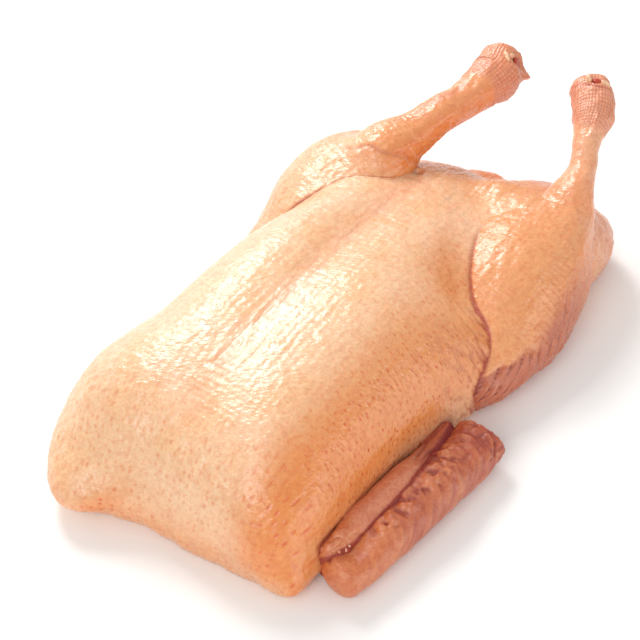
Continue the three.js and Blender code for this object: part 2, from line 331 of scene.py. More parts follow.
def smooth_run(stations, count):
    """A Catmull-Rom run through stations of any width, in equal steps, with its ends mirrored."""
    s = np.array(stations, float)
    last = len(s) - 1
    t = np.linspace(0, last, count)
    k = np.minimum(t.astype(int), last - 1)
    f = (t - k)[:, None]
    padded = np.vstack([2 * s[0] - s[1], s, 2 * s[-1] - s[-2]])
    p0, p1, p2, p3 = (padded[k + n] for n in range(4))
    v0, v1 = (p2 - p0) / 2, (p3 - p1) / 2
    cubic = (2 * p1 - 2 * p2 + v0 + v1) * f ** 3
    return cubic + (-3 * p1 + 3 * p2 - 2 * v0 - v1) * f ** 2 + v0 * f + p1


def unit(v):
    """Each vector divided by its length."""
    return v / (np.linalg.norm(v, axis=-1, keepdims=True) + 1e-12)


def run_frames(run):
    """The direction of travel at each point, the side square to it and level, and the up square to both."""
    along = unit(np.gradient(run[:, :3], axis=0))
    side = unit(np.cross((0, 0, 1.0), along))
    return along, side, np.cross(along, side)


def cast_skin(field, stations, fans, rows, ring):
    """A skin over a field: from each point of a curved axis a ray leaves square to it, and round both ends
    the rays fan out. Each stops where it first meets the field's zero on its way in. Rings turn about the
    axis from underneath. Also gives each row's place from the axis's last point, and its tilt in the fan."""
    run = smooth_run(stations, AXIS_POINTS)
    along, side, up = run_frames(run)
    reached = np.r_[0, np.cumsum(np.linalg.norm(np.diff(run[:, :3], axis=0), axis=1))]
    length = reached[-1]
    before = fans.front * np.pi / 2
    whole = before + length + fans.rear * np.pi / 2
    s = (np.arange(rows) + 0.5) / rows * whole - before
    tilt = np.where(s < 0, s / fans.front, np.maximum(s - length, 0) / fans.rear)[:, None]
    on = np.clip(s, 0, length)

    def at(values):
        return np.stack([np.interp(on, reached, column) for column in values.T], -1)

    radius = at(run[:, 3:4]) if run.shape[1] > 3 else np.zeros((rows, 1))
    v = np.arange(ring) / ring * 2 * np.pi - np.pi
    angle = (v - fans.crowd * np.sin(v))[None, :, None]
    ray = np.cos(tilt)[..., None] * (np.sin(angle) * at(side)[:, None] + np.cos(angle) * at(up)[:, None])
    ray = unit(ray + np.sin(tilt)[..., None] * at(along)[:, None]).reshape(-1, 3)
    start = np.repeat(at(run[:, :3]), ring, 0)
    radius, lean = np.repeat(radius[:, 0], ring), np.repeat(tilt[:, 0], ring)
    out = np.full(rows * ring, float(fans.reach))
    live = np.arange(rows * ring)
    for _ in range(RAY_STEPS):
        d = field(start[live] + ray[live] * out[live, None], out[live], radius[live], lean[live])
        far = d > RAY_CLOSE
        out[live] -= np.where(far, RAY_SHARE * d, 0)
        live = live[far]
    return (start + ray * out[:, None]).reshape(rows, ring, 3), (s - length)[:, None], tilt


def oval_tube(stations, rows, ring, start, end):
    """Ovals square to a smooth run, of given half width, height above and depth below, with quarter-round
    ends that reach a share of the end's size."""
    run = smooth_run(stations, rows - 2 * WING_ROUNDS)
    along, side, up = run_frames(run)
    a = (np.arange(WING_ROUNDS) + 1) / (WING_ROUNDS + 0.5) * np.pi / 2

    def cap(i, share):
        reach = np.sin(a)[:, None] * share * run[i, 3:].max()
        return run[i, :3] + reach * along[i], run[i, 3:] * np.cos(a)[:, None]

    first, first_size = cap(0, -start)
    last, last_size = cap(-1, end)
    centre = np.vstack([first[::-1], run[:, :3], last])
    size = np.vstack([first_size[::-1], run[:, 3:], last_size])
    side, up = (np.pad(axis, ((WING_ROUNDS, WING_ROUNDS), (0, 0)), "edge") for axis in (side, up))
    v = np.arange(ring) / ring * 2 * np.pi - np.pi / 2
    across = size[:, :1] * np.cos(v)
    rise = np.where(np.sin(v) > 0, size[:, 1:2], size[:, 2:3]) * np.sin(v)
    return centre[:, None] + side[:, None] * across[..., None] + up[:, None] * rise[..., None]


def lump_surface(lump, rows, ring, seed):
    """An ellipsoid from latitude u and longitude v: the centre plus half sizes times (sin u, cos u cos v,
    cos u sin v), made uneven by a smooth random field."""
    u = ((np.arange(rows) + 0.5) / rows - 0.5)[:, None] * np.pi
    v = (np.arange(ring) / ring * 2 * np.pi)[None]
    ball = vectors(np.sin(u), np.cos(u) * np.cos(v), np.cos(u) * np.sin(v))
    grid = ball * lump.half @ turned(lump).T + lump.at
    return grid + unit(grid - lump.at) * 0.45 * noise(grid, 2, seed)[..., None]


def tube_gap(stations, p):
    """About how far a point is outside an oval tube, from the nearest point of the tube's run, or past its
    rounded ends."""
    run = smooth_run(stations, LINE_POINTS)
    ahead, side, up = run_frames(run)
    nearest, least = np.zeros(p.shape[:-1], int), np.full(p.shape[:-1], np.inf)
    for k, station in enumerate(run):
        away = ((p - station[:3]) ** 2).sum(-1)
        nearest, least = np.where(away < least, k, nearest), np.minimum(away, least)
    off = p - run[nearest, :3]
    across, rise = (off * side[nearest]).sum(-1), (off * up[nearest]).sum(-1)
    tall = np.where(rise > 0, run[nearest, 4], run[nearest, 5])
    share = np.hypot(across / run[nearest, 3], rise / tall) + 1e-9
    beyond = np.abs((off * ahead[nearest]).sum(-1)) - 0.6 * run[nearest, 3]
    return np.maximum(np.hypot(across, rise) * (share - 1) / share, beyond)


def pull_about(grid, pulls):
    """Moves points by each pull's own vector, fading as a bell over its half width."""
    moved = grid.copy()
    for pull in pulls:
        away = ((grid - pull.at) ** 2).sum(-1)
        moved += np.exp(-away / pull.wide ** 2)[..., None] * pull.by
    return moved


def bell(gap, wide):
    """1 where a gap is closed or overlapped, falling as a bell of this half width where it opens."""
    return np.exp(-(np.maximum(gap, 0) / wide) ** 2)


def outward_normals(grid):
    """Unit normals from the differences along both parameters, turned away from the middle of each ring."""
    along = np.gradient(grid, axis=0)
    around = (np.roll(grid, -1, 1) - np.roll(grid, 1, 1)) / 2
    n = unit(np.cross(around, along))
    return n * np.sign((n * (grid - grid.mean(1, keepdims=True))).sum())


def ramp(x, low, high):
    """0 up to low, 1 from high on, a smooth rise between; low may be the greater. Limits are mm for a place,
    and a slope for part of a normal."""
    t = np.clip((x - low) / (high - low), 0, 1)
    return t * t * (3 - 2 * t)


def noise(p, cell, seed):
    """A smooth field from -1 to 1: random values at the corners of cells, blended by smooth steps. A cell
    has one size in mm, or one along each axis."""
    wrap = 48
    table = np.random.default_rng(seed).uniform(-1, 1, wrap ** 3)
    q = p / cell
    low = np.floor(q).astype(int)
    f = q - low
    f = f * f * (3 - 2 * f)
    sides = (low % wrap, 1 - f), ((low + 1) % wrap, f)
    total = 0
    for (x, fx), (y, fy), (z, fz) in product(sides, repeat=3):
        corner = table[(x[..., 0] * wrap + y[..., 1]) * wrap + z[..., 2]]
        total = total + fx[..., 0] * fy[..., 1] * fz[..., 2] * corner
    return total


def wrinkles(p, cell, seed):
    """Soft folds from -1 to 1 with round backs and narrow furrows: twice the square root of the size of a
    smooth random field, less 1, at points that another field has shifted."""
    cell = np.array(cell)
    bent = p + 0.45 * cell * noise(p, cell * 2.3, seed + 500)[..., None]
    return 2 * np.sqrt(np.abs(noise(bent, cell, seed))) - 1


def gooseflesh(along, around, step, seed):
    """Low bumps one step apart with dips between them, in rows that sway: the product of two cosines."""
    sway = 0.35 * np.sin(along / step * 0.9 + seed) + 0.3 * np.sin(around / step * 0.7 + 2 * seed)
    return np.cos(np.pi * (along + around) / step + sway) * np.cos(np.pi * (along - around) / step - sway)


def groove(p, fold):
    """0 to 1 near a fold's line, by a bell of its half width about the nearest point, less at both ends."""
    line = smooth_run(fold.line, LINE_POINTS)
    flat = p.reshape(-1, 3)
    reach = 4 * fold.wide
    close = np.all((flat > line.min(0) - reach) & (flat < line.max(0) + reach), axis=1)
    value = np.zeros(len(flat))
    gap = np.linalg.norm(flat[close][:, None] - line[None], axis=-1)
    nearest = gap.argmin(1)
    fade = np.sin(np.pi * np.clip(nearest / (LINE_POINTS - 1), 0.04, 0.96)) ** 0.5
    value[close] = fade * np.exp(-(gap.min(1) / fold.wide) ** 2)
    return value.reshape(p.shape[:2])


def fold_depth(p, folds):
    """How deep all the folds go at each point, with a low lip beside each, and how much shade is painted
    into them.
    """
    deep, fold_shade = np.zeros(p.shape[:2]), np.zeros(p.shape[:2])
    for fold in folds:
        g = groove(p, fold)
        lip = groove(p, fold._replace(wide=2.6 * fold.wide))
        deep += fold.deep * (g - 0.35 * lip)
        # Painted shade, darkest on the line of a deep fold
        fold_shade = np.maximum(fold_shade, g * min(1, max(0, fold.deep / 2)))
    return deep, fold_shade


def arc_map(grid):
    """Millimetres along the rows, and millimetres round each ring from its top line."""
    ring = grid.shape[1]
    steps = np.linalg.norm(np.diff(grid, axis=0), axis=-1).mean(1)
    along = np.repeat(np.r_[0, np.cumsum(steps)][:, None], ring, 1)
    turn = np.linalg.norm(np.roll(grid, -1, 1) - grid, axis=-1)
    around = np.hstack([np.zeros((grid.shape[0], 1)), np.cumsum(turn, 1)[:, :-1]])
    return along, around - around[:, ring // 2][:, None]


def closed_mesh(name, grid, looks):
    """A mesh from rings of points, closed by one point at each end, with its faces out. Looks are values or
    vectors for each point of the grid, kept as attributes."""
    rows, ring = grid.shape[:2]
    count, last = rows * ring, (rows - 1) * ring
    points = np.vstack([grid.reshape(-1, 3), grid[[0, -1]].mean(1)])
    j = np.arange(ring)
    k = (j + 1) % ring
    near = np.arange(rows - 1)[:, None] * ring
    far = near + ring
    quads = np.stack([near + j, near + k, far + k, far + j], -1).reshape(-1, 4)
    caps = np.vstack([vectors(count, k, j), vectors(count + 1, last + j, last + k)])
    a, b, c = points[quads[:, 0]], points[quads[:, 1]], points[quads[:, 2]]
    if np.einsum("ij,ij->i", a, np.cross(b, c)).sum() < 0:
        quads, caps = quads[:, ::-1], caps[:, ::-1]
    placed = (points - UNDER_MIDDLE) * MM
    mesh = bpy.data.meshes.new(name)
    mesh.vertices.add(len(placed))
    mesh.vertices.foreach_set("co", placed.ravel())
    mesh.loops.add(quads.size + caps.size)
    mesh.loops.foreach_set("vertex_index", np.r_[quads.ravel(), caps.ravel()].astype(np.int32))
    mesh.polygons.add(len(quads) + len(caps))
    starts = np.r_[np.arange(len(quads)) * 4, quads.size + np.arange(len(caps)) * 3]
    mesh.polygons.foreach_set("loop_start", starts.astype(np.int32))
    mesh.update(calc_edges=True)
    mesh.shade_smooth()
    for key, values in looks.items():
        kind, field, width = ("FLOAT_VECTOR", "vector", 3) if values.ndim == 3 else ("FLOAT", "value", 1)
        every = np.vstack([values.reshape(-1, width), values[[0, -1]].mean(1).reshape(2, width)])
        made = mesh.attributes.new(key, kind, "POINT")
        made.data.foreach_set(field, every.astype(np.float32).ravel())
    return mesh


def add_object(name, data):
    """A new object in the scene."""
    made = bpy.data.objects.new(name, data)
    bpy.context.scene.collection.objects.link(made)
    return made


def add_piece(name, grid, looks, material):
    """Puts a finished grid, pressed flat where it would pass below the floor, into the scene as a piece of
    the bird that stands for the solid."""
    grid = grid.copy()
    grid[..., 2] = np.maximum(grid[..., 2], 0)
    mesh = closed_mesh(name, grid, looks)
    mesh.materials.append(material)
    piece = add_object(name, mesh)
    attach(piece, BODY)
    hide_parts(SOLID)


def linear(code):
    """An sRGB hex colour as linear red, green, blue and alpha."""
    c = np.array([int(code[n:n + 2], 16) for n in (1, 3, 5)]) / 255
    c = np.where(c <= 0.04045, c / 12.92, ((c + 0.055) / 1.055) ** 2.4)
    return (*map(float, c), 1.0)


def add_node(tree, kind, inputs=None, **settings):
    """Adds a shader node, sets its own settings, and gives each named or numbered input a value or link."""
    made = tree.nodes.new("ShaderNode" + kind)
    for key, value in settings.items():
        setattr(made, key, value)
    for key, value in (inputs or {}).items():
        if isinstance(value, bpy.types.NodeSocket):
            tree.links.new(value, made.inputs[key])
        else:
            made.inputs[key].default_value = value
    return made


def blank_material(name):
    """A new material, and its node tree without a node."""
    material = bpy.data.materials.new(name)
    material.use_nodes = True
    tree = material.node_tree
    tree.nodes.clear()
    return material, tree


def feather_pits(tree, flow, look, stretch, broad):
    """Feather pits in skin: one in each cell of a loose pattern, from 1 at the cell's point to 0 at the
    pit's rim, drawn out down the slope, broader where the skin is slack, and each of its own strength."""
    cells = add_node(tree, "TexVoronoi", {
        "Vector": flow, "Scale": 1 / look["pit_step"], "Randomness": 0.72,
    }, voronoi_dimensions="2D")
    point = cells.outputs["Position"]
    apart = add_node(tree, "VectorMath", {0: flow, 1: point}, operation="SUBTRACT").outputs[0]
    slim = (1.0, 1 / stretch, 0.0)
    slim = add_node(tree, "VectorMath", {0: apart, 1: slim}, operation="MULTIPLY").outputs[0]
    gap = add_node(tree, "VectorMath", {0: slim}, operation="LENGTH").outputs["Value"]
    pit = add_node(tree, "MapRange", {
        "Value": gap, "From Max": broad * look["pit_radius"], "To Min": 1.0, "To Max": 0.0,
    }, interpolation_type="SMOOTHSTEP")
    lot = add_node(tree, "SeparateColor", {"Color": cells.outputs["Color"]}).outputs["Red"]
    strength = add_node(tree, "Math", {0: lot, 1: 0.8}, operation="POWER").outputs[0]
    return add_node(tree, "Math", {0: pit.outputs[0], 1: strength}, operation="MULTIPLY").outputs[0]


def skin_material(name, tones, look):
    """Raw poultry skin, plucked and wet: fat shows through it, so it is soft, warm and broken by small
    glints. Its tones are laid over each other by the piece's own masks, and its patterns have real sizes."""
    material, tree = blank_material(name)
    place = add_node(tree, "TexCoord").outputs["Object"]
    mask = {key: add_node(tree, "Attribute", attribute_name=key).outputs["Fac"] for key in MASKS}
    flow = {key: add_node(tree, "Attribute", attribute_name=key).outputs["Vector"] for key in FLOWS}
    side_pits = feather_pits(tree, flow["flow"], look, 2.0, 1.0)
    front_pits = feather_pits(tree, flow["flow_front"], look, 1.1, 1.5)
    pits = add_node(tree, "Mix", {0: mask["front"], 2: side_pits, 3: front_pits}).outputs[0]
    pits = add_node(tree, "Math", {0: pits, 1: mask["pitted"]}, operation="MULTIPLY").outputs[0]

    # Patches, in mm: fat in blotches, blood as a mottle and a grain, and gloss that comes and goes
    patches = {}
    for key, size, detail, low, high, least, most in (
        ("blotch", 24, 2, 0.4, 0.62, 0, 0.5),
        ("mottle", 4.5, 3, 0.45, 0.7, 0, look["mottle"]),
        ("grain", 1.5, 2, 0.42, 0.68, 0, look["mottle"]),
        ("gloss", 9, 3, 0.35, 0.65, look["wet"], look["wet"] + 0.14),
    ):
        inputs = {"Vector": place, "Scale": 1 / (size * MM), "Detail": detail}
        cloud = add_node(tree, "TexNoise", inputs).outputs["Fac"]
        inputs = {"Value": cloud, "From Min": low, "From Max": high, "To Min": least, "To Max": most}
        patches[key] = add_node(tree, "MapRange", inputs).outputs[0]
    fat = add_node(tree, "Math", {0: mask["cream"], 1: patches["blotch"]}, operation="MAXIMUM").outputs[0]
    colour = tones["pale"]
    # Tints in order; the last is painted shade in creases, seams, folds and furrows
    for where, tone, how in (
        (fat, "cream", "MIX"), (mask["warm"], "warm", "MIX"), (mask["pink"], "pink", "MIX"),
        (mask["raw"], "raw", "MIX"), (patches["mottle"], "blush", "MULTIPLY"),
        (patches["grain"], "blush", "MULTIPLY"), (pits, "pit", "MULTIPLY"),
        (mask["crease"], "crease", "MULTIPLY"),
    ):
        inputs = {0: where, "A": colour, "B": tones[tone]}
        colour = add_node(tree, "Mix", inputs, data_type="RGBA", blend_type=how).outputs[2]

    # Fine waves slant across the breast and run along the keel, over soft bumps of 6 mm
    waves = []
    for turn, scale in (((0, 0, -0.98), (2.2, 1, 1.4)), ((0, 0, 0), (4, 1, 1))):
        inputs = {"Vector": place, "Rotation": turn, "Scale": scale}
        drawn_out = add_node(tree, "Mapping", inputs, vector_type="TEXTURE").outputs[0]
        inputs = {"Vector": drawn_out, "Scale": 1 / look["wave"], "Detail": 3, "Roughness": 0.6}
        waves.append(add_node(tree, "TexNoise", inputs).outputs["Fac"])
    height = add_node(tree, "Mix", {0: mask["keel"], 2: waves[0], 3: waves[1]}).outputs[0]
    height = add_node(tree, "Math", {0: height, 1: mask["fine"]}, operation="MULTIPLY").outputs[0]
    bumps = add_node(tree, "TexNoise", {"Vector": place, "Scale": 1 / (6 * MM), "Detail": 1}).outputs["Fac"]
    for inputs in ({0: bumps, 1: 1.1}, {1: look["crinkle"], 2: 0.0}, {0: pits, 1: -look["pit_depth"]}):
        inputs = {0: height, 2: height, **inputs}
        height = add_node(tree, "Math", inputs, operation="MULTIPLY_ADD").outputs[0]
    bump = add_node(tree, "Bump", {"Height": height, "Strength": 1.0, "Distance": 1.0}).outputs[0]

    # Skin is dull deep in its creases
    inputs = {0: mask["crease"], 1: 0.45, 2: patches["gloss"]}
    dull = add_node(tree, "Math", inputs, operation="MULTIPLY_ADD").outputs[0]
    shader = add_node(tree, "BsdfPrincipled", {
        "Base Color": colour, "Roughness": dull, "Normal": bump, "IOR": 1.5,
        "Specular IOR Level": 0.8, "Coat Weight": 0.26, "Coat Roughness": 0.38, "Coat Normal": bump,
        "Subsurface Weight": 0.18, "Subsurface Radius": (1.0, 0.45, 0.25), "Subsurface Scale": 0.003,
    })
    add_node(tree, "OutputMaterial", {"Surface": shader.outputs[0]})
    return material


def scrap_material(name, tone, stain):
    """Wet gristle or raw meat at a cut: smooth and glossy, and stained with blood in spots of 3 mm."""
    material, tree = blank_material(name)
    place = add_node(tree, "TexCoord").outputs["Object"]
    spots = add_node(tree, "TexNoise", {"Vector": place, "Scale": 1 / (3 * MM), "Detail": 2}).outputs["Fac"]
    patch = add_node(tree, "MapRange", {"Value": spots, "From Min": 0.45, "From Max": 0.75}).outputs[0]
    colour = add_node(tree, "Mix", {0: patch, "A": tone, "B": stain}, data_type="RGBA").outputs[2]
    bump = add_node(tree, "Bump", {"Height": spots, "Strength": 0.5, "Distance": 0.8 * MM}).outputs[0]
    shader = add_node(tree, "BsdfPrincipled", {
        "Base Color": colour, "Roughness": 0.28, "Normal": bump, "IOR": 1.5,
        "Subsurface Weight": 0.2, "Subsurface Scale": 0.002,
    })
    add_node(tree, "OutputMaterial", {"Surface": shader.outputs[0]})
    return material


def number_of(name, about, default, least):
    """A setting that counts something."""
    return bpy.props.IntProperty(name=name, description=about, default=default, min=least)


def size_of(name, about, size, least=0):
    """A length setting, given here in millimetres and kept in metres."""
    return bpy.props.FloatProperty(
        name=name, description=about, default=size * MM, min=least * MM, precision=5, unit="LENGTH",
    )


def colour_of(name, about, code):
    """A colour setting, given here as an sRGB hex value and kept linear."""
    return bpy.props.FloatVectorProperty(
        name=name, description=about, default=linear(code), size=4, min=0, max=1, subtype="COLOR",
    )


class DuckSizes(bpy.types.PropertyGroup):
    """Fineness of the pieces, and sizes of the skin's pits and wrinkles."""

    trunk_rows: number_of("Trunk rows", "Rings along the trunk", 340, 60)
    trunk_ring: number_of("Trunk ring", "Points in a trunk ring", 290, 60)
    leg_rows: number_of("Leg rows", "Rings along a leg", 440, 60)
    leg_ring: number_of("Leg ring", "Points in a leg ring", 224, 40)
    wing_rows: number_of("Wing rows", "Rings along a wing, with its ends", 336, 100)
    wing_ring: number_of("Wing ring", "Points in a wing ring", 188, 40)
    pit_step: size_of("Pit step", "Gap between feather pits", 4.2, 1)
    pit_radius: size_of("Pit radius", "Half width of a feather pit", 0.95, 0.1)
    pit_depth: size_of("Pit depth", "Depth of a feather pit", 0.3)
    wave: size_of("Wave", "Width of the finest wrinkles", 1.7, 0.5)
    crinkle: size_of("Crinkle", "Height of the finest wrinkles", 0.62)


class DuckColours(bpy.types.PropertyGroup):
    """Colours of the skin, the gristle and the meat, and the dark red painted as shade in creases."""

    pale: colour_of("Pale skin", "Palest skin, over fat", "#F2CAA4")
    cream: colour_of("Cream skin", "Skin of the neck and belly", "#ECB77E")
    warm: colour_of("Warm skin", "Orange skin low on the sides", "#E78B3C")
    pink: colour_of("Pink skin", "Thin skin over bone and meat", "#EA9A78")
    raw: colour_of("Raw skin", "Red-brown skin of wings and folds", "#B4532F")
    blush: colour_of("Blush", "Tint of the mottle over all skin", "#E4A576")
    pit: colour_of("Feather pit", "Tint in the feather pits", "#F0A768")
    # Painted shade: multiplied into creases, seams, folds and furrows, where shade falls; the meat's blood
    # stains use it too
    crease: colour_of("Crease", "Tint deep in the creases", "#B23E1F")
    gristle: colour_of("Gristle", "Bone ends and gristle", "#F0C9A0")
    stain: colour_of("Stain", "Blood stain on the bone ends", "#DC8A68")
    meat: colour_of("Meat", "Raw meat in the cut ankles", "#B8452E")


def tone_table():
    """The colour settings by name."""
    colours = bpy.context.scene.duck_colours
    return {key: tuple(getattr(colours, key)) for key in DuckColours.__annotations__}


def skin_look(crinkle=1.0, wet=0.18, mottle=0.27):
    """The sizes and strengths that one kind of skin's pits, wrinkles, gloss and mottle take."""
    sizes = bpy.context.scene.duck_sizes
    look = {key: getattr(sizes, key) for key in ("pit_step", "pit_radius", "pit_depth", "wave")}
    return dict(look, crinkle=sizes.crinkle * crinkle, wet=wet, mottle=mottle)


def all_looks(grid, **given):
    """Every mask and flow that the skin reads: masks kept between 0 and 1, and zero for what isn't given."""
    looks = {key: np.clip(given.get(key, 0) + np.zeros(grid.shape[:2]), 0, 1) for key in MASKS}
    return {**looks, **{key: given.get(key, np.zeros_like(grid)) for key in FLOWS}}


class DUCK_OT_trunk(bpy.types.Operator):
    """Breast, neck skin, belly and rump as one skin over a barrel with soft lumps"""

    bl_idname = "duck.trunk"
    bl_label = "Trunk"

    def execute(self, context):
        sizes = context.scene.duck_sizes
        grid, _, _ = cast_skin(trunk_field, TRUNK_AXIS, TRUNK_FANS, sizes.trunk_rows, sizes.trunk_ring)
        normal = outward_normals(grid)
        x, y, z = np.moveaxis(grid, -1, 0)
        along, around = arc_map(grid)

        # The keel runs down the middle of the breast and fades at the neck and the belly
        keel = np.exp(-((y - 2.5) / 6.5) ** 2) * (z > 40) * ramp(x, -125, -90) * ramp(x, 112, 88)
        mass = trunk_mass(grid)
        near_gap, far_gap = (thigh_mass(leg, grid) - swell(mass, leg.join) for leg in (NEAR_LEG, FAR_LEG))
        shut = ramp(x, 100, 78)
        wing_gap = tube_gap(WING_INNER, grid)
        flank = ramp(x, -35, 15) * ramp(x, 100, 60) * ramp(-y, 60, 76)
        neck = ramp(-x, 92, 122)
        top = ramp(normal[..., 2], 0.35, 0.9)

        relief = 0.8 * noise(grid, 38, 11) + 0.4 * noise(grid, 14, 12)
        relief += 0.14 * noise(grid, (6.5, 4.5, 4.5), 13)
        relief += keel * (0.3 * noise(grid, (16, 2.6, 20), 14) - 0.6)
        streaks = wrinkles(vectors(x + 0.25 * z, y, z), (3.4, 20, 18), 15)
        relief += flank * (0.4 + 0.5 * bell(near_gap, 16)) * streaks
        relief += neck * 0.35 * noise(grid, (40, 7, 40), 16)
        relief += 0.45 * ramp(x, 60, 100) * noise(grid, (11, 8, 8), 18)
        relief += 0.32 * ramp(x, 30, 80) * noise(grid, (4.4, 3.2, 3.2), 19)
        relief += 0.4 * neck * ramp(y, 18, 42) * wrinkles(grid, (9, 7, 8), 20)
        relief += neck * ramp(22 - z, 0, 14) * 0.6 * noise(grid, (9, 7, 12), 17)
        relief += 0.14 * gooseflesh(along, around, 4.4, 1.0)
        deep, fold_shade = fold_depth(grid, TRUNK_FOLDS)
        relief -= deep + 0.35 * (shut * bell(near_gap, 0.8) + bell(far_gap, 0.8) * ramp(x, 112, 100))
        relief -= 0.5 * bell(wing_gap, 2)
        grid = pull_about(grid + normal * relief[..., None], TRUNK_PULLS)

        # Tones by facing: the near side, away from the main lamps, takes more warm orange and the far side
        # more cream, partly the skin's own tones and partly painted shade and painted light
        face = ramp(-normal[..., 0], 0.15, 0.8)
        side = ramp(-normal[..., 1], 0.12, 0.8)
        far_side = ramp(normal[..., 1], 0.3, 0.9)
        rear = ramp(x, 110, 165)
        low = ramp(48 - z, 0, 40)
        corner = ramp(-y, 30, 62) * ramp(-x, 75, 100) * (1 - 0.62 * ramp(20 - z, 0, 12))
        warm = 0.82 + 0.12 * ramp(-x, 40, 80)
        # Low on the near side behind the neck the orange thins, a painted fill light where the wing shades
        # the skin
        warm = side * (warm - 0.5 * ramp(38 - z, 0, 22) * ramp(x, -90, -40))
        warm = np.maximum(warm, np.maximum(0.5 * face * ramp(36 - z, 0, 28), 0.92 * corner))
        warm = np.maximum(warm, np.maximum(rear, 0.6 * ramp(x, 100, 144)))
        # Near the wing the warm, cream and pink tones fade towards the palest skin: painted fill light in
        # the wing's shade
        beside = 1 - 0.4 * bell(wing_gap, 9)
        cream = np.maximum(0.3 * face, 0.8 * ramp(x, 78, 136)) + 0.5 * side * beside + 0.7 * far_side
        pink = 0.3 * keel + 0.12 * top * ramp(x, 20, 100) + 0.1 * side * low * beside
        # The raw tone rises within a few mm of the floor, on the near side from the middle back
        redder_near_floor = 0.15 * np.exp(-np.maximum(z, 0) / 5) * ramp(-y, 30, 70) * ramp(x, -40, 0)
        # Painted shade along both seams with the thighs, in the small dent behind the breast, in the folds
        # and in the furrows of the near flank's streaks
        crease = 0.5 * shut * bell(near_gap - 0.4, 0.4) + 0.35 * bell(far_gap - 0.3, 0.4) + fold_shade
        crease += 0.6 * np.exp(-((x - 114) ** 2 + (y - 8) ** 2) / 2.2 ** 2) * (z > 50)
        crease += 0.5 * flank * ramp(-streaks, 0.0, 0.8) * (0.3 + 0.7 * bell(near_gap, 16))
        looks = all_looks(
            grid, cream=cream, warm=warm * beside, pink=pink, keel=keel, crease=crease,
            # Painted shade: a raw red line where the skin touches the wing
            raw=0.3 * rear + redder_near_floor + 0.6 * bell(wing_gap, 1.2),
            pitted=0.18 + 0.82 * side + 0.4 * neck - 0.8 * keel - 0.5 * rear,
            front=ramp(-x, 96, 112), fine=0.5 + 0.5 * top,
            flow=vectors(x, around) * MM, flow_front=vectors(y, z) * MM,
        )
        add_piece("trunk", grid, looks, skin_material("raw_duck_skin", tone_table(), skin_look()))
        return {"FINISHED"}


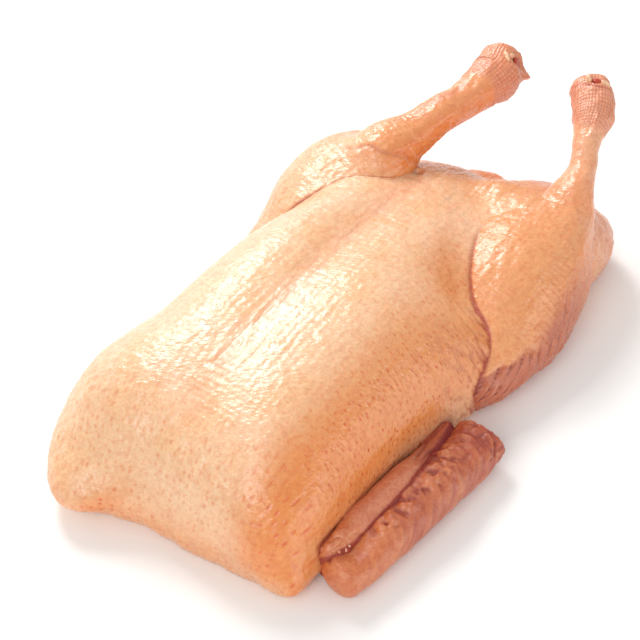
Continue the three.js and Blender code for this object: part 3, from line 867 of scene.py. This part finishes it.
class DUCK_OT_legs(bpy.types.Operator):
    """Both legs, each a thigh running into a drumstick that is cut off at the ankle"""

    bl_idname = "duck.legs"
    bl_label = "Legs"

    def execute(self, context):
        sizes = context.scene.duck_sizes
        material = bpy.data.materials["raw_duck_skin"]
        for name, leg, folds, pulls, seed in (
            ("leg_far", FAR_LEG, FAR_LEG_FOLDS, FAR_LEG_PULLS, 21),
            ("leg_near", NEAR_LEG, NEAR_LEG_FOLDS, NEAR_LEG_PULLS, 31),
        ):
            near = name == "leg_near"
            grid, s, tilt = cast_skin(leg_field(leg), leg.bone, leg.fans, sizes.leg_rows, sizes.leg_ring)
            normal = outward_normals(grid)
            x, y, z = np.moveaxis(grid, -1, 0)
            along, around = arc_map(grid)
            v = np.arange(sizes.leg_ring)[None] / sizes.leg_ring * 2 * np.pi

            # Scales start along a wavy line, and the end of the fan is the cut
            shank = ramp(s, *SHANK)
            scaly = ramp(s + 3 * np.sin(v + seed) + 2 * np.sin(2 * v), *SCALES)
            end = ramp(tilt, 0.7, 1.05)
            seam = bell(trunk_field(grid) - 0.25, 0.3) * ramp(x, 100, 78) * (1 - shank)
            relief = 0.6 * noise(grid, 24, seed) + 0.3 * noise(grid, 9, seed + 1)
            relief += (0.27 + 0.1 * shank) * noise(grid, (5, 3, 3), seed + 2)
            relief += 0.12 * (1 - shank) * gooseflesh(along, around, 3.9, seed)

            # A net of scales in rows that wander, with sunk lines between them
            warp = 0.8 * np.sin(2 * v + seed) + 1.3 * noise(grid, 9, seed + 5)
            ribs = np.abs(np.sin(np.pi * s / SCALE_STEP + warp)) ** 0.5
            ribs = ribs * np.abs(np.sin(SCALES_ROUND * v + 0.6 * np.sin(s / 4))) ** 0.4
            relief += scaly * (0.6 * ribs + 0.5 * noise(grid, (6, 5, 5), seed + 3))

            # The near thigh's underside is thin red skin, wrinkled down towards the front
            under, folded = np.zeros_like(x), np.zeros_like(x)
            if near:
                below = np.interp(x, *PALE_EDGE) - z + 2.2 * noise(grid, 9, seed + 7)
                below = below / np.interp(x, *PALE_EDGE_SOFT)
                under = ramp(-y, 80, 92) * ramp(below, -0.5, 0.5) * ramp(x, 138, 80)
                across = 0.76 * z - 0.65 * x + 4.0 * noise(grid, (24, 16, 16), seed + 4)
                slack = 0.6 + 0.9 * noise(grid, (13, 9, 5), seed + 8)
                folded = 2 * np.abs(np.sin(np.pi * across / UNDER_FOLD_STEP)) ** 0.6 - 1
                folded = folded * slack * ramp(x, 105, 65)
                relief += under * folded
                relief -= 0.8 * under * ramp(x, 70, 50)
            deep, fold_shade = fold_depth(grid, folds)
            relief -= deep + 0.7 * seam
            grid = grid + normal * relief[..., None]
            axis_end = unit(np.subtract(leg.bone[-1][:3], leg.bone[-2][:3]))
            ragged = 1 + 0.6 * noise(grid, 3.5, seed + 6)
            grid = pull_about(grid - axis_end * (CUT_SINK * end * ragged)[..., None], pulls)

            # Faces turned up are painted paler, less warm and less cream: a painted top light
            face = ramp(normal[..., 2], 0.2, 0.85)
            low = ramp(-normal[..., 1], 0.1, 0.8)
            if near:
                warm = (1 - 0.42 * face) * (1 - 0.85 * ramp(s, -74, -44))
                pink = (0.05 + 0.3 * shank + 0.25 * scaly + 0.15 * ramp(x, 95, 135)) * (1 - under)
            else:
                fold = np.exp(-(((x - 110) / 22) ** 2 + ((z - 80) / 13) ** 2)) * ramp(y, 42, 30)
                fold = np.maximum(fold, ramp(x, 100, 125))
                warm = 0.5 - 0.3 * face + 0.95 * fold * (1 - 0.45 * face)
                pink = 0.1 + 0.15 * shank + 0.4 * scaly
            looks = all_looks(
                grid, cream=0.8 + 0.2 * low - 0.4 * face, warm=warm, pink=pink, raw=0.8 * under + 0.75 * end,
                # Painted shade along the seam with the trunk, in the folds, in the sunk cut end, in the
                # underside's furrows and in the sunk lines between scales
                crease=0.85 * seam + fold_shade + 0.45 * scaly * (1 - ribs) + 0.4 * end
                + 0.9 * under * ramp(-folded, -0.2, 0.7),
                pitted=0.4 * (1 - shank) * (1 - under), fine=0.68 + 0.32 * np.maximum(face, shank),
                flow=vectors(along, around) * MM,
            )
            add_piece(name, grid, looks, material)
        return {"FINISHED"}


class DUCK_OT_wings(bpy.types.Operator):
    """Both wings, each folded into an outer and an inner length lying along the side"""

    bl_idname = "duck.wings"
    bl_label = "Wings"

    def execute(self, context):
        sizes = context.scene.duck_sizes
        look = skin_look(crinkle=0.8, wet=0.34, mottle=0.45)
        material = skin_material("raw_wing_skin", tone_table(), look)
        for name, stations, end, pulls, seed in (
            ("wing_outer", WING_OUTER, 0.25, OUTER_PULLS, 41),
            ("wing_inner", WING_INNER, 0.6, INNER_PULLS, 51),
        ):
            outer = name == "wing_outer"
            grid = oval_tube(stations, sizes.wing_rows, sizes.wing_ring, 0.6, end)
            normal = outward_normals(grid)
            along, around = arc_map(grid)
            x, y, z = np.moveaxis(grid, -1, 0)
            other = tube_gap(WING_INNER if outer else WING_OUTER, grid)
            elbow, hand = ramp(x, -32, -12), ramp(-x, 78, 104)
            # Painted shade where the two lengths meet and where a wing meets the trunk
            crease = 0.85 * bell(other, 0.8) + 0.7 * bell(trunk_field(grid), 0.8)
            relief = 0.5 * noise(grid, (16, 12, 12), seed)
            if outer:
                # A knobbly lip along the fold, fibres slanting down the outside, and a wrinkled elbow
                lip = np.exp(-((other - 4.6) / 4.4) ** 2) * (z > 12) * ramp(x, -104, -90) * (1 - elbow)
                knobs = 1.2 * noise(grid, (3.4, 5, 5), seed + 1)
                knobs += 0.7 * noise(grid, (1.8, 2.4, 2.4), seed + 4)
                slanting = vectors(0.75 * x + 0.66 * z, y, 0.75 * z - 0.66 * x)
                fibres = noise(slanting, (12, 8, 1.5), seed + 2)
                fibres += 0.5 * noise(slanting, (20, 9, 3.2), seed + 5)
                relief += lip * (0.9 + 1.5 * knobs) + (1 - 0.8 * hand) * (1 - lip) * 0.6 * fibres
                rough = 0.75 * wrinkles(grid, (9, 5, 5), seed + 3) + 0.4 * noise(grid, 2.6, seed + 6)
                relief += elbow * rough
                warm = 0.6 + 0.3 * hand
                # Less raw on the lip and on the fibres' ridges and more in their furrows: the skin's own
                # red-brown, with painted light on the ridges and painted shade in the furrows
                raw = 0.8 - 0.32 * hand + 0.2 * elbow - 0.1 * lip - 0.25 * fibres * (1 - 0.6 * hand)
                raw += 0.3 * elbow * noise(grid, (5, 4, 4), seed + 7)
                pink = 0.2 * (1 - elbow)
                # Painted shade between the lip's knobs and in the dips of the elbow's wrinkles
                crease += 0.8 * lip * ramp(-knobs, 0.1, 0.8)
                crease += 0.45 * elbow * ramp(-relief, 0.0, 1.0)
            else:
                # Smooth membrane in the middle, a torn flap at the front, and a hollow at the rear, redder
                # and with shade painted deep in it
                flap = ramp(-x, 92, 100)
                hollow = ramp(x, -56, -36)
                relief += flap * 0.9 * wrinkles(grid, 5, seed + 1) - 1.6 * hollow
                relief += hollow * 0.9 * wrinkles(grid, (12, 3.5, 3.5), seed + 2)
                relief += 0.5 * (1 - flap) * wrinkles(grid, (34, 5, 5), seed + 3)
                warm = 0.3 + 0.4 * flap
                raw = 0.34 + 0.42 * hollow
                pink = 0.8 - 0.4 * flap
                # Painted shade deep in the hollow
                crease += 0.6 * hollow * ramp(-relief, 0.8, 2.2)
            grid = grid + normal * relief[..., None]
            looks = all_looks(
                grid, cream=1, warm=warm, raw=raw, pink=pink, crease=crease, fine=0.8,
                flow=vectors(along, around) * MM,
            )
            add_piece(name + "_near", pull_about(grid, pulls), looks, material)
            if outer:
                mirrored = grid * (1, -1, FAR_WING_HEIGHT) + (0, 2 * WING_MIRROR_Y, 0)
                add_piece(name + "_far", mirrored, looks, material)
        return {"FINISHED"}


class DUCK_OT_scraps(bpy.types.Operator):
    """Gristle, bone ends and meat that show where the ankles were cut, and the torn edge of a wing"""

    bl_idname = "duck.scraps"
    bl_label = "Scraps"

    def execute(self, context):
        tones = tone_table()
        # The meat's blood stains take the dark red that the skin uses as painted crease shade
        materials = {
            "gristle": scrap_material("wet_gristle", tones["gristle"], tones["stain"]),
            "meat": scrap_material("raw_meat", tones["meat"], tones["crease"]),
        }
        for kind, lumps in SCRAPS.items():
            for number, lump in enumerate(lumps):
                grid = lump_surface(lump, SCRAP_ROWS, SCRAP_RING, 60 + number)
                add_piece("%s_%d" % (kind, number + 1), grid, {}, materials[kind])
        return {"FINISHED"}


class DUCK_OT_stage(bpy.types.Operator):
    """Pale floor, soft studio light and the camera"""

    bl_idname = "duck.stage"
    bl_label = "Stage"

    def execute(self, context):
        scene = context.scene
        scene.view_settings.view_transform = "Standard"
        corners = [(FLOOR_HALF * x, FLOOR_HALF * y, 0) for x, y in ((-1, -1), (1, -1), (1, 1), (-1, 1))]
        mesh = bpy.data.meshes.new("floor")
        mesh.from_pydata(corners, [], [(0, 1, 2, 3)])
        floor = add_object("floor", mesh)
        floor.location.z = -FLOOR_DROP

        # White background paper is matte, so it takes soft shadows and mirrors nothing
        paper, tree = blank_material("white_paper")
        shader = add_node(tree, "BsdfPrincipled", {"Base Color": linear("#FBFAF8"), "Roughness": 0.95})
        add_node(tree, "OutputMaterial", {"Surface": shader.outputs[0]})
        mesh.materials.append(paper)

        world = bpy.data.worlds.new("studio")
        scene.world = world
        world.use_nodes = True
        sky = world.node_tree.nodes["Background"].inputs
        sky["Color"].default_value = linear("#FFFFFF")
        sky["Strength"].default_value = WORLD_STRENGTH

        # A lamp's power is its radiance times pi times its area
        for name, place, (width, height), radiance in SOFTBOXES:
            light = bpy.data.lights.new(name, "AREA")
            light.shape = "RECTANGLE"
            light.size, light.size_y = width, height
            light.energy = radiance * np.pi * width * height
            lamp = add_object(name, light)
            lamp.location = place
            lamp.rotation_euler = (Vector(LIT_POINT) - Vector(place)).to_track_quat("-Z", "Y").to_euler()

        # The photograph looks down on the neck end from the near side
        azimuth, elevation = np.radians(AZIMUTH), np.radians(ELEVATION)
        level = np.cos(elevation)
        back = np.array((np.sin(azimuth) * level, -np.cos(azimuth) * level, np.sin(elevation)))
        data = bpy.data.cameras.new("camera")
        data.sensor_width = SENSOR
        data.lens = LENS
        data.clip_start, data.clip_end = 0.05, 20.0
        camera = add_object("camera", data)
        camera.location = Vector((np.subtract(TARGET, UNDER_MIDDLE) + back * DISTANCE) * MM)
        camera.rotation_euler = Vector(-back).to_track_quat("-Z", "Y").to_euler()
        scene.camera = camera
        return {"FINISHED"}


class DUCK_PT_panel(bpy.types.Panel):
    """The duck's sizes, colours and pieces"""

    bl_idname = "DUCK_PT_panel"
    bl_label = "Duck"
    bl_space_type = "VIEW_3D"
    bl_region_type = "UI"
    bl_category = "Duck"

    def draw(self, context):
        for group in (context.scene.duck_sizes, context.scene.duck_colours):
            box = self.layout.box()
            for key in group.__annotations__:
                box.prop(group, key)
        for operator in OPERATORS:
            self.layout.operator(operator.bl_idname)


OPERATORS = (DUCK_OT_trunk, DUCK_OT_legs, DUCK_OT_wings, DUCK_OT_scraps, DUCK_OT_stage)
CLASSES = (DuckSizes, DuckColours, *OPERATORS, DUCK_PT_panel)


def register():
    for cls in CLASSES:
        bpy.utils.register_class(cls)
    bpy.types.Scene.duck_sizes = bpy.props.PointerProperty(type=DuckSizes)
    bpy.types.Scene.duck_colours = bpy.props.PointerProperty(type=DuckColours)


def unregister():
    del bpy.types.Scene.duck_colours
    del bpy.types.Scene.duck_sizes
    for cls in reversed(CLASSES):
        bpy.utils.unregister_class(cls)


def main():
    """Builds every piece in order."""
    register()
    bpy.ops.duck.trunk()
    bpy.ops.duck.legs()
    bpy.ops.duck.wings()
    bpy.ops.duck.scraps()
    bpy.ops.duck.stage()


if __name__ == "__main__":
    main()
